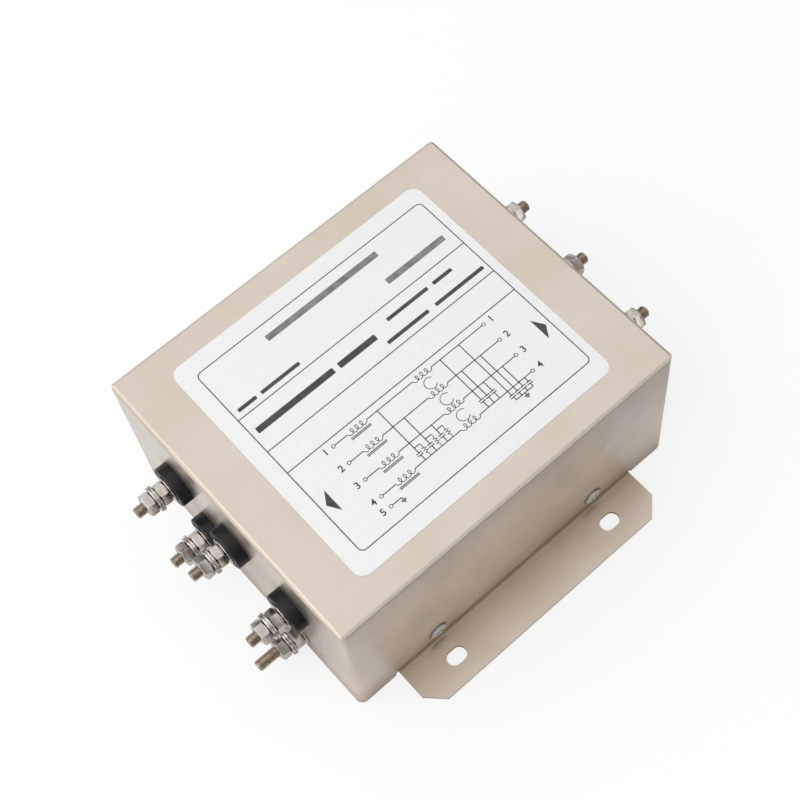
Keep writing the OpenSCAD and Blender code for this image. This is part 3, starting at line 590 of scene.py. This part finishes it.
def line(ink, points, width, closed=False):
    """Adds a printed line of even width along points, with mitred corners up to a limit."""
    points = [Vector(point) for point in points]
    count = len(points)
    rails = []
    for k, here in enumerate(points):
        back = here - points[k - 1] if k or closed else None
        ahead = points[(k + 1) % count] - here if k < count - 1 or closed else None
        back = (back or ahead).normalized()
        ahead = (ahead or back).normalized()
        across = Vector((-(back + ahead).y, (back + ahead).x)).normalized()
        reach = width / 2 / max(across.dot(Vector((-back.y, back.x))), 0.4)
        rails.append([ink.verts.new((*(here + side * reach * across), 0)) for side in (1, -1)])
    for k in range(count if closed else count - 1):
        (left, right), (next_left, next_right) = rails[k], rails[(k + 1) % count]
        ink.faces.new([left, right, next_right, next_left])


def arc(x, y, r, start=0.0, end=360.0, steps=24):
    """Points along a circle's arc, in degrees."""
    angles = [radians(start + (end - start) * k / steps) for k in range(steps + 1)]
    return [(x + r * cos(angle), y + r * sin(angle)) for angle in angles]


# What makes a number's strokes bolder, on each side
STROKE_GROWTH = 0.05


def numeral(ink, figure, x, y, size):
    """Adds a plain number centred on a point."""
    text = bpy.data.curves.new("numeral", "FONT")
    text.body = figure
    text.size = size
    text.offset = STROKE_GROWTH
    text.align_x = "CENTER"
    text.align_y = "CENTER"
    holder = new_object("numeral", text)
    mesh = bpy.data.meshes.new_from_object(holder.evaluated_get(bpy.context.evaluated_depsgraph_get()))
    mesh.transform(Matrix.Translation((x, y, 0)))
    ink.from_mesh(mesh)
    bpy.data.objects.remove(holder)


def on_case(name, shape):
    """A new object from a shape drawn in the label's millimetres, in its place on the case."""
    mesh = bpy.data.meshes.new(name)
    shape.to_mesh(mesh)
    shape.free()
    mesh.transform(Matrix.Translation((label_mid.x / MM, label_mid.y / MM, PRINT_TOP)))
    mesh.transform(Matrix.Scale(MM, 4))
    return new_object(name, mesh)


def printed(name, ink, material):
    """Turns flat print into a thin closed layer on the film."""
    bmesh.ops.recalc_face_normals(ink, faces=ink.faces)
    for face in ink.faces:
        if face.normal.z < 0:
            face.normal_flip()
    piece = on_case(name, ink)
    thick = piece.modifiers.new("thickness", "SOLIDIFY")
    thick.thickness = PRINT_T * MM
    thick.offset = -1.0
    plain_mesh(piece)
    give_finish(piece, material)
    place_piece(piece, "label_film")


# Line widths of the print
RULE_W = 0.34
WIRE_W = 0.33
CORE_W = 0.32
COIL_W = 0.25

# The printed frame and the rules that part its rows
FRAME_X = (-43.6, 46.1)
FRAME_Y = (-38.5, 38.7)
FRAME_R = 1.8
RULES_Y = (18.0, 4.2, -5.0)

# The circuit's four conductors and what stands along them
WIRES_Y = (-7.6, -14.8, -22.0, -29.2)
LINE_END_X = -28.3
LOAD_END_X = 31.0
TERMINAL_R = 0.55
LINE_COIL_X = -19.2
CHOKE_COIL_X = 6.2
COIL_HALF = 3.7
COIL_LOOPS = 3
COIL_PITCH = 1.8
LOOP_W = 0.75
LOOP_H = 0.95
EARTH_Y = -33.4
EARTH_LINE_END_X = -24.3

# Bars under the line chokes, and arcs between the windings of the other one
CORE_BARS = (1.75, 2.25)
CORE_ARC_R = 2.0
CORE_ARC_DROP = 0.3
CORE_ARC_DEGREES = (40, 320)

# First branch and pitch of the capacitors: with resistors, without them, and to earth
FIRST_BANK_X = -11.4
FIRST_BANK_PITCH = 4.3
RESISTOR_OFF = 2.2
SECOND_BANK_X = 13.4
SECOND_BANK_PITCH = 2.2
EARTH_BANK_X = 20.9
EARTH_BANK_PITCH = 2.25
EARTH_BANK_MARK_X = 24.3
EARTH_BANK_DROP = 3.8
# How far the branches reach above the neutral, and the two banks' capacitors
BANK_TOP = 5.0
SECOND_BANK_TOP = 5.8
# The branches to earth stop below the neutral, where their capacitors' branches have started
EARTH_LEAD = 0.8
EARTH_BANK_TOP = 0.5

# An earth mark's drop, its bars' half lengths and their pitch
EARTH_DROP = 0.9
EARTH_BARS = (0.95, 0.62, 0.3)
EARTH_BAR_PITCH = 0.42

# Corner radius of the bars that stand for words
BAR_R = 0.3

# Numbers beside the terminals, and the arrows
NUMBER_X = (-31.2, 34.0)
NUMBER_H = 3.2
ARROW_L = 2.6
ARROW_HALF_W = 4.2


def coil(ink, x, y):
    """A coil's loops hanging below its wire, from one side to the other."""
    start = x - COIL_LOOPS * COIL_PITCH / 2
    steps = COIL_LOOPS * 20
    loops = [
        (
            start + COIL_PITCH * COIL_LOOPS * k / steps + LOOP_W * sin(tau * COIL_LOOPS * k / steps),
            y - LOOP_H * cos(tau * COIL_LOOPS * k / steps),
        )
        for k in range(steps + 1)
    ]
    lead_in = [(x - COIL_HALF, y), (x - COIL_HALF + 0.3, y - 0.6)]
    lead_out = [(x + COIL_HALF - 0.3, y - 0.6), (x + COIL_HALF, y)]
    line(ink, lead_in + loops + lead_out, COIL_W)


def capacitor(ink, x, top, bottom):
    """Two plates in an upright branch."""
    middle = (top + bottom) / 2
    gap = 0.4
    plate = 1.0
    line(ink, [(x, top), (x, middle + gap)], WIRE_W)
    line(ink, [(x, middle - gap), (x, bottom)], WIRE_W)
    for y in (middle + gap, middle - gap):
        line(ink, [(x - plate, y), (x + plate, y)], WIRE_W)


def resistor(ink, x, top, bottom):
    """A zigzag in an upright branch."""
    middle = (top + bottom) / 2
    reach = 1.1
    swing = 0.6
    turns = 5
    zigzag = [
        (x + (swing if k % 2 else -swing), middle + reach - 2 * reach * (k + 0.5) / turns)
        for k in range(turns)
    ]
    line(ink, [(x, top), (x, middle + reach)] + zigzag + [(x, middle - reach), (x, bottom)], COIL_W)


def earth_mark(ink, x, y):
    """A short drop to three bars, each shorter than the one above."""
    line(ink, [(x, y), (x, y - EARTH_DROP)], WIRE_W)
    for k, half in enumerate(EARTH_BARS):
        drop = y - EARTH_DROP - EARTH_BAR_PITCH * k
        line(ink, [(x - half, drop), (x + half, drop)], WIRE_W)


def conductors(ink):
    """The four conductors between their terminals, with a line choke in each and one choke on all."""
    for y in WIRES_Y:
        for x in (LINE_END_X, LOAD_END_X):
            line(ink, arc(x, y, TERMINAL_R)[:-1], COIL_W, closed=True)
        stops = [LINE_END_X + TERMINAL_R, LINE_COIL_X - COIL_HALF, LINE_COIL_X + COIL_HALF,
                 CHOKE_COIL_X - COIL_HALF, CHOKE_COIL_X + COIL_HALF, LOAD_END_X - TERMINAL_R]
        for start, end in zip(stops[::2], stops[1::2]):
            line(ink, [(start, y), (end, y)], WIRE_W)
        coil(ink, LINE_COIL_X, y)
        coil(ink, CHOKE_COIL_X, y)
        for bar in CORE_BARS:
            line(ink, [(LINE_COIL_X - COIL_HALF, y - bar), (LINE_COIL_X + COIL_HALF, y - bar)], CORE_W)
    for above, below in zip(WIRES_Y, WIRES_Y[1:]):
        middle = (above + below) / 2 - CORE_ARC_DROP
        line(ink, arc(CHOKE_COIL_X, middle, CORE_ARC_R, *CORE_ARC_DEGREES), COIL_W)


def phase_banks(ink):
    """Capacitors from each phase to the neutral, first with their resistors and then without."""
    neutral = WIRES_Y[-1]
    top = neutral + BANK_TOP
    for k, y in enumerate(WIRES_Y[:-1]):
        x = FIRST_BANK_X + FIRST_BANK_PITCH * k
        line(ink, [(x, y), (x, top)], WIRE_W)
        capacitor(ink, x, top, neutral)
        line(ink, [(x, top), (x + RESISTOR_OFF, top)], WIRE_W)
        resistor(ink, x + RESISTOR_OFF, top, neutral)
        x = SECOND_BANK_X + SECOND_BANK_PITCH * k
        line(ink, [(x, y), (x, top)], WIRE_W)
        capacitor(ink, x, neutral + SECOND_BANK_TOP, neutral)


def earth_bank(ink):
    """Capacitors from all four conductors to earth."""
    neutral = WIRES_Y[-1]
    bottom = neutral - EARTH_BANK_DROP
    for k, y in enumerate(WIRES_Y):
        x = EARTH_BANK_X + EARTH_BANK_PITCH * k
        line(ink, [(x, y), (x, neutral - EARTH_LEAD)], WIRE_W)
        capacitor(ink, x, neutral - EARTH_BANK_TOP, bottom)
    line(ink, [(EARTH_BANK_X, bottom), (EARTH_BANK_X + 3 * EARTH_BANK_PITCH, bottom)], WIRE_W)
    earth_mark(ink, EARTH_BANK_MARK_X, bottom)


def earth_terminal(ink):
    """The earth terminal's ring with its own line and mark."""
    line(ink, arc(LINE_END_X, EARTH_Y, TERMINAL_R)[:-1], COIL_W, closed=True)
    line(ink, [(LINE_END_X + TERMINAL_R, EARTH_Y), (EARTH_LINE_END_X, EARTH_Y)], WIRE_W)
    earth_mark(ink, EARTH_LINE_END_X, EARTH_Y)


def circuit(ink):
    """Circuit of a filter for three phases and neutral."""
    conductors(ink)
    phase_banks(ink)
    earth_bank(ink)
    earth_terminal(ink)


def arrow(ink, x, y, way):
    """A solid arrowhead with its tip at a point; way is 1 where it points along +X and -1 along -X."""
    foot = x - way * ARROW_L
    fill(ink, [(x, y), (foot, y + way * ARROW_HALF_W), (foot, y - way * ARROW_HALF_W)])


def bars(ink, rows):
    """Plain bars in place of words; each row gives first and last x, middle y and height."""
    for x0, x1, y, height in rows:
        fill(ink, rounded_outline(x0, x1, y - height / 2, y + height / 2, BAR_R, steps=3))


def label_film():
    """The film itself, a little thinner than the solid so that the print lies within it."""
    film = bmesh.new()
    fill(film, rounded_outline(-label_l / 2, label_l / 2, -label_w / 2, label_w / 2, LABEL_R))
    low = label_low.z / MM - PRINT_TOP
    base = film.faces[:]
    made = bmesh.ops.extrude_face_region(film, geom=base)
    top = [item for item in made["geom"] if isinstance(item, bmesh.types.BMVert)]
    bmesh.ops.translate(film, verts=film.verts, vec=(0, 0, low))
    bmesh.ops.translate(film, verts=top, vec=(0, 0, -low - PRINT_T))
    bmesh.ops.recalc_face_normals(film, faces=film.faces)
    piece = on_case("label_film", film)
    give_finish(piece, FINISHES["label_film"])
    place_piece(piece, "label_film", "blank_label")


def label_print():
    """Dark print: frame, rules, circuit, two arrows, terminal numbers and plain bars for the data rows."""
    ink = bmesh.new()
    line(ink, rounded_outline(*FRAME_X, *FRAME_Y, FRAME_R, steps=6), RULE_W, closed=True)
    for y in RULES_Y:
        line(ink, [(FRAME_X[0], y), (FRAME_X[1], y)], RULE_W)
    circuit(ink)
    arrow(ink, -41.8, -20.6, -1)
    arrow(ink, 44.6, -20.5, 1)
    for figure, y in zip("1234", WIRES_Y):
        for x in NUMBER_X:
            numeral(ink, figure, x, y, NUMBER_H)
    numeral(ink, "5", NUMBER_X[0], EARTH_Y, NUMBER_H)
    bars(ink, (
        (-41.6, -34.6, 20.6, 1.3), (-32.8, -18.0, 20.6, 1.3),
        (-41.6, -12.0, 11.6, 2.2), (-10.0, 4.6, 11.6, 2.2),
        (10.8, 27.2, 13.6, 1.3), (29.4, 37.0, 13.6, 1.3),
        (5.8, 22.2, 7.4, 1.3), (25.0, 44.6, 7.4, 1.3),
    ))
    printed("label_print", ink, print_ink("dark_print_ink", "#4d484d", "#403b41"))


def label_heading():
    """Grey print: plain bars where a heading would be."""
    ink = bmesh.new()
    bars(ink, ((-20.0, 24.0, 33.8, 2.2), (19.6, 43.0, 23.8, 2.2)))
    printed("label_heading", ink, print_ink("grey_print_ink", "#8f8b8f", "#767277"))


label_film()
label_print()
label_heading()


# ---- Stage, light and camera ----

# Unit direction from the object to the middle of the overhead softbox
SOFTBOX_WAY = (0.1, 0.3, 0.949)
# Unit direction to a small soft light, low in front of the object
FILL_WAY = (0.2, -0.947, 0.25)
# Cosine from a light's middle where it starts and where it is full, and the strength at both
SOFTBOX_EDGE = (0.52, 0.8)
SOFTBOX_STRENGTH = (0.32, 0.97)
FILL_EDGE = (0.945, 0.975)
FILL_STRENGTH = (0.0, 1.1)
WHITE = (1.0, 1.0, 1.0, 1.0)
# Cool tone of the lit floor in the metal, and of the room's light
MIRRORED_FLOOR = (0.84, 0.91, 0.98, 1.0)
ROOM_LIGHT = (0.965, 0.985, 1.0, 1.0)
# How much of the floor's white is its own, so that the rest can be shaded
SHADOWLESS_SHARE = 0.76
# Where painted shade darkens the floor in front of the near flange for all but camera rays, in metres along
# Y, and its tone there
FRONT_FADE = (-0.11, -0.065)
FRONT_TONE = (0.16, 0.9)
# Where the floor's painted glow, seen only in metal, fades along X beside the line terminals, its share, and
# where along Y
SIDE_FADE = (-0.1, -0.06)
SIDE_GLOW = (0.52, 0.05)
BACK_FADE = (-0.07, 0.03)


def floor_material():
    """Pale floor, white where nothing shades it and with a soft share of the object's shadow. Metal sees
    a painted glow on it beside the line terminals and painted shade on it in front of the near flange, as in
    a room lit from one side."""
    material = bpy.data.materials.new("pale_floor")
    tree = empty_tree(material)
    calc = partial(maths, tree)
    metres = add(tree, "ShaderNodeTexCoord").outputs["Object"]
    place = add(tree, "ShaderNodeSeparateXYZ", {0: metres}).outputs
    ray = add(tree, "ShaderNodeLightPath").outputs
    # Painted shade on the floor in front of the near flange, for all but camera rays
    front = ramp(tree, place[1], *FRONT_FADE, *FRONT_TONE)
    tone = calc("MAXIMUM", front, ray["Is Camera Ray"])
    paint = add(tree, "ShaderNodeBsdfDiffuse", {"Color": tone})
    tint = blend(tree, ray["Is Glossy Ray"], WHITE, MIRRORED_FLOOR)
    glow = add(tree, "ShaderNodeEmission", {"Color": tint, "Strength": 1.0})
    seen = calc("MULTIPLY", ray["Is Camera Ray"], SHADOWLESS_SHARE)
    # Painted glow beside the line terminals, seen only in metal
    side = ramp(tree, place[0], *SIDE_FADE, *SIDE_GLOW)
    beside = calc("MULTIPLY", side, ramp(tree, place[1], *BACK_FADE))
    mirrored = calc("MULTIPLY", ray["Is Glossy Ray"], beside)
    share = calc("MAXIMUM", calc("MAXIMUM", seen, mirrored), ray["Is Transmission Ray"])
    mixed = add(tree, "ShaderNodeMixShader", {0: share, 1: paint.outputs[0], 2: glow.outputs[0]})
    add(tree, "ShaderNodeOutputMaterial", {"Surface": mixed.outputs[0]})
    return material


def pale_floor():
    """A wide floor just below the flanges' undersides."""
    half = 4.0  # metres
    drop = 0.02 * MM
    mesh = bpy.data.meshes.new("floor")
    corners = [(-half, -half, -drop), (half, -half, -drop), (half, half, -drop), (-half, half, -drop)]
    mesh.from_pydata(corners, [], [(0, 1, 2, 3)])
    floor = new_object("floor", mesh)
    give_finish(floor, floor_material())


def soft_light(tree, way, middle, edge, strength):
    """Brightness of the room around a round light with blurred edges."""
    towards = add(tree, "ShaderNodeVectorMath", {0: way, 1: middle}, operation="DOT_PRODUCT")
    return ramp(tree, towards.outputs["Value"], *edge, *strength, interpolation_type="SMOOTHSTEP")


def studio_world():
    """A dim room under a wide overhead softbox with blurred edges, with a small soft light low in front.
    It is white where the camera looks past the object."""
    world = bpy.data.worlds.new("studio")
    bpy.context.scene.world = world
    tree = empty_tree(world)
    way = add(tree, "ShaderNodeTexCoord").outputs["Generated"]
    above = soft_light(tree, way, SOFTBOX_WAY, SOFTBOX_EDGE, SOFTBOX_STRENGTH)
    in_front = soft_light(tree, way, FILL_WAY, FILL_EDGE, FILL_STRENGTH)
    glow = maths(tree, "ADD", above, in_front)
    room = add(tree, "ShaderNodeBackground", {"Color": ROOM_LIGHT, "Strength": glow})
    white = add(tree, "ShaderNodeBackground", {"Color": WHITE, "Strength": 1.0})
    ray = add(tree, "ShaderNodeLightPath").outputs
    mixed = add(
        tree, "ShaderNodeMixShader", {0: ray["Is Camera Ray"], 1: room.outputs[0], 2: white.outputs[0]}
    )
    add(tree, "ShaderNodeOutputWorld", {"Surface": mixed.outputs[0]})


def softbox(name, place, aim, size, power):
    """A square area lamp at a place, turned towards a point."""
    lamp = bpy.data.lights.new(name, "AREA")
    lamp.shape = "SQUARE"
    lamp.size = size
    lamp.energy = power
    holder = bpy.data.objects.new(name, lamp)
    bpy.context.scene.collection.objects.link(holder)
    holder.location = place
    holder.rotation_euler = (Vector(aim) - Vector(place)).to_track_quat("-Z", "Y").to_euler()


# Direction of view: azimuth from +Y towards +X, elevation above the horizon, and roll
VIEW_AZIMUTH = radians(34.52)
VIEW_ELEVATION = radians(61.91)
VIEW_ROLL = radians(-7.78)
CAMERA_PLACE = (-0.1233, -0.19585, 0.4942)
LENS_LENGTH = 74.13
SENSOR_W = 36.0
LENS_SHIFT = (-0.0259, -0.0416)


def studio_camera():
    """A long lens that looks steeply down from the corner of the line terminals and the near flange."""
    ahead = Vector((
        sin(VIEW_AZIMUTH) * cos(VIEW_ELEVATION), cos(VIEW_AZIMUTH) * cos(VIEW_ELEVATION), -sin(VIEW_ELEVATION)
    ))
    level = Vector((cos(VIEW_AZIMUTH), -sin(VIEW_AZIMUTH), 0))
    upright = level.cross(ahead)
    right = cos(VIEW_ROLL) * level + sin(VIEW_ROLL) * upright
    up = cos(VIEW_ROLL) * upright - sin(VIEW_ROLL) * level
    lens = bpy.data.cameras.new("camera")
    lens.lens = LENS_LENGTH
    lens.sensor_width = SENSOR_W
    lens.shift_x, lens.shift_y = LENS_SHIFT
    lens.clip_start = 0.01
    camera = bpy.data.objects.new("camera", lens)
    bpy.context.scene.collection.objects.link(camera)
    camera.matrix_world = Matrix((right, up, -ahead)).transposed().to_4x4()
    camera.location = CAMERA_PLACE
    bpy.context.scene.camera = camera


pale_floor()
studio_world()
softbox("key", place=(-0.9, 0.15, 0.8), aim=(-0.05, 0, 0.03), size=1.5, power=9.0)
studio_camera()
bpy.context.scene.view_settings.view_transform = "Standard"
